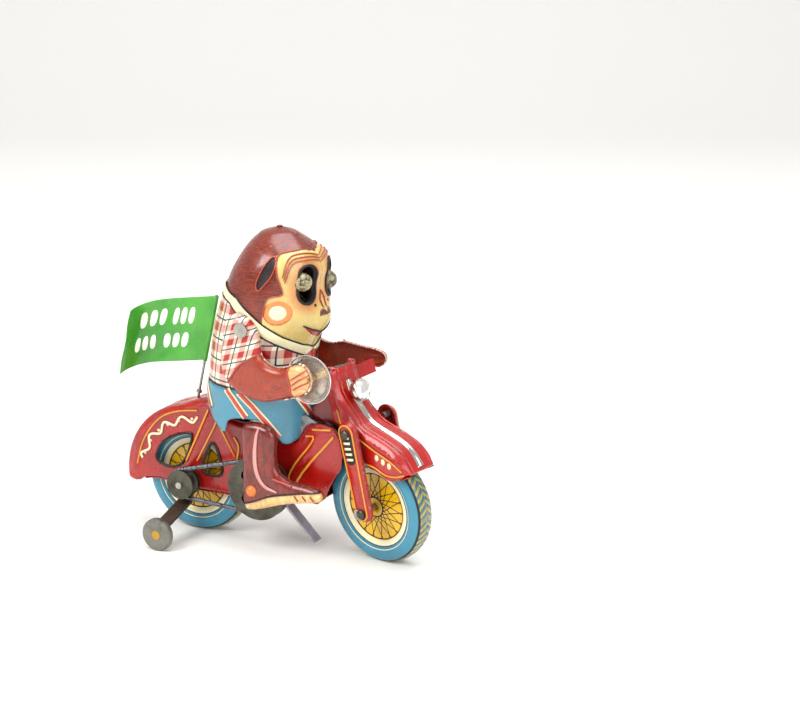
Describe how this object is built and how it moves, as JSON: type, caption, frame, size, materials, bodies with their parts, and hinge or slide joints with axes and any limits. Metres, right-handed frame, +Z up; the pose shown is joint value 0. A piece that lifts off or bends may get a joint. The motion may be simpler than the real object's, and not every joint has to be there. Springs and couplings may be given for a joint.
{
  "type": "wind-up toy monkey on a motorcycle",
  "caption": "Tin wind-up toy: a monkey in a plaid shirt rides a motorcycle with outrigger rollers and rings a bell",
  "frame": {"origin": "on the ground, under the middle of the toy's length and width", "axes": "+X forward, +Y the rider's left, +Z up"},
  "size_m": [0.1244, 0.0606, 0.118],
  "materials": {
    "red_tin": "lithographed gloss red with orange lines, worn",
    "fur_tin": "lithographed gloss tin: fur, face, plaid shirt and trousers",
    "trouser_tin": "lithographed gloss blue",
    "wheel_tin": "lithographed tyre, ring and spokes",
    "plate_steel": "plain tin plate",
    "rod_steel": "drawn steel wire and pins",
    "bright_chrome": "nickel plate with light wear",
    "gear_brass": "stamped brass",
    "dark_steel": "dark oxide",
    "belt_steel": "coiled spring wire",
    "rivet_orange": "orange painted rivet",
    "eye_gold": "worn gold and grey",
    "roller_grey": "aged grey metal",
    "flag_vinyl": "soft green vinyl sheet"
  },
  "bodies": {
    "chassis": {"frame_shell_right": "red_tin", "frame_shell_left": "red_tin", "motor_plate_right": "plate_steel", "motor_plate_left": "plate_steel", "plate_pillars": "rod_steel", "rider_bracket": "plate_steel", "headstock": "plate_steel", "hip_rod": "rod_steel", "shoulder_rod": "rod_steel", "eye_pin": "rod_steel", "leg_right": "trouser_tin", "leg_left": "trouser_tin", "leg_rivets": "rivet_orange", "monkey_shell_right": "fur_tin", "monkey_shell_left": "fur_tin", "outrigger_arm_right": "dark_steel", "outrigger_arm_left": "dark_steel", "roller_pins": "gear_brass", "lever_pin": "rod_steel", "spring_belt": "belt_steel", "foot_pin": "rod_steel", "mainspring": "belt_steel", "flag_wire": "rod_steel"},
    "rear_wheel": {"rear_wheel_right": "wheel_tin", "rear_wheel_left": "wheel_tin", "rear_axle_rod": "rod_steel", "rear_pulley": "dark_steel"},
    "drive": {"drive_shaft_rod": "rod_steel", "drive_pulley": "dark_steel", "drive_pinion": "gear_brass", "cam": "gear_brass"},
    "idle": {"idle_arbor_rod": "rod_steel", "idle_wheel": "gear_brass", "idle_pinion": "gear_brass"},
    "great": {"great_wheel": "gear_brass"},
    "key": {"key_arbor_rod": "rod_steel", "winding_key": "bright_chrome", "ratchet_wheel": "gear_brass"},
    "fork": {"fairing_right": "red_tin", "fairing_left": "red_tin", "fork_blade_right": "red_tin", "fork_blade_left": "red_tin", "blade_rivets": "rod_steel", "steering_stem": "rod_steel", "fender_trim": "bright_chrome", "headlamp": "bright_chrome", "handlebar": "red_tin", "front_axle_rod": "rod_steel"},
    "front_wheel": {"front_wheel_right": "wheel_tin", "front_wheel_left": "wheel_tin"},
    "roller_r": {"roller_right": "roller_grey"},
    "roller_l": {"roller_left": "roller_grey"},
    "arm_r": {"arm_right": "fur_tin", "bell": "bright_chrome", "bell_rivet": "gear_brass"},
    "arm_l": {"arm_left": "fur_tin"},
    "eyes": {"eye_rocker": "eye_gold"},
    "push": {"push_rod": "rod_steel"},
    "lever": {"stop_lever": "plate_steel"},
    "flag": {"flag_sheet": "flag_vinyl"}
  },
  "joints": [
    {"name": "rear_wheel_spin", "type": "hinge", "parent": "chassis", "child": "rear_wheel", "pos_m": [-0.034, 0, 0.021], "axis": [0, 1, 0], "continuous": true},
    {"name": "drive_pulley_spin", "type": "hinge", "parent": "chassis", "child": "drive", "pos_m": [-0.0015, 0, 0.0245], "axis": [0, 1, 0], "continuous": true},
    {"name": "idle_gear_spin", "type": "hinge", "parent": "chassis", "child": "idle", "pos_m": [0.00385, 0, 0.03457], "axis": [0, 1, 0], "continuous": true},
    {"name": "great_wheel_spin", "type": "hinge", "parent": "chassis", "child": "great", "pos_m": [0.015, 0, 0.039], "axis": [0, 1, 0], "continuous": true},
    {"name": "key_turn", "type": "hinge", "parent": "chassis", "child": "key", "pos_m": [0.015, 0, 0.039], "axis": [0, 1, 0], "continuous": true},
    {"name": "fork_steer", "type": "hinge", "parent": "chassis", "child": "fork", "pos_m": [0.0385, 0, 0.021], "axis": [-0.284, 0, 0.9588], "range_deg": [0, 30]},
    {"name": "front_wheel_spin", "type": "hinge", "parent": "fork", "child": "front_wheel", "pos_m": [0.04141, -0.00074, 0.02097], "axis": [0.2482, 0.9659, 0.0735], "continuous": true},
    {"name": "roller_right_spin", "type": "hinge", "parent": "chassis", "child": "roller_r", "pos_m": [-0.0356, -0.0285, 0.006], "axis": [0, 1, 0], "continuous": true},
    {"name": "roller_left_spin", "type": "hinge", "parent": "chassis", "child": "roller_l", "pos_m": [-0.0356, 0.0285, 0.006], "axis": [0, 1, 0], "continuous": true},
    {"name": "right_arm_swing", "type": "hinge", "parent": "chassis", "child": "arm_r", "pos_m": [-0.0025, -0.02, 0.085], "axis": [0, 1, 0], "range_deg": [-25, 0]},
    {"name": "left_arm_swing", "type": "hinge", "parent": "chassis", "child": "arm_l", "pos_m": [-0.0025, 0.02, 0.085], "axis": [0, 1, 0], "range_deg": [-20, 0]},
    {"name": "eye_rock", "type": "hinge", "parent": "chassis", "child": "eyes", "pos_m": [0.002, 0, 0.101], "axis": [0, 1, 0], "range_deg": [-5, 0]},
    {"name": "push_rod_slide", "type": "slide", "parent": "chassis", "child": "push", "axis": [0, 0, 1], "range_m": [0, 0.003]},
    {"name": "stop_lever_tilt", "type": "hinge", "parent": "chassis", "child": "lever", "pos_m": [0.0024, 0, 0.015], "axis": [0, 1, 0], "range_deg": [-25, 0]},
    {"name": "flag_turn", "type": "hinge", "parent": "chassis", "child": "flag", "pos_m": [-0.0352, 0, 0.0482], "axis": [0.225, 0, 0.9744], "range_deg": [-40, 40]}
  ],
  "couplings": [
    {"joint": "drive_pulley_spin", "follows": "rear_wheel_spin", "ratio": 0.49039},
    {"joint": "idle_gear_spin", "follows": "rear_wheel_spin", "ratio": -0.13077},
    {"joint": "great_wheel_spin", "follows": "rear_wheel_spin", "ratio": 0.032692},
    {"joint": "eye_rock", "follows": "right_arm_swing", "ratio": 0.2},
    {"joint": "push_rod_slide", "follows": "right_arm_swing", "m_per_rad": -0.006807}
  ]
}
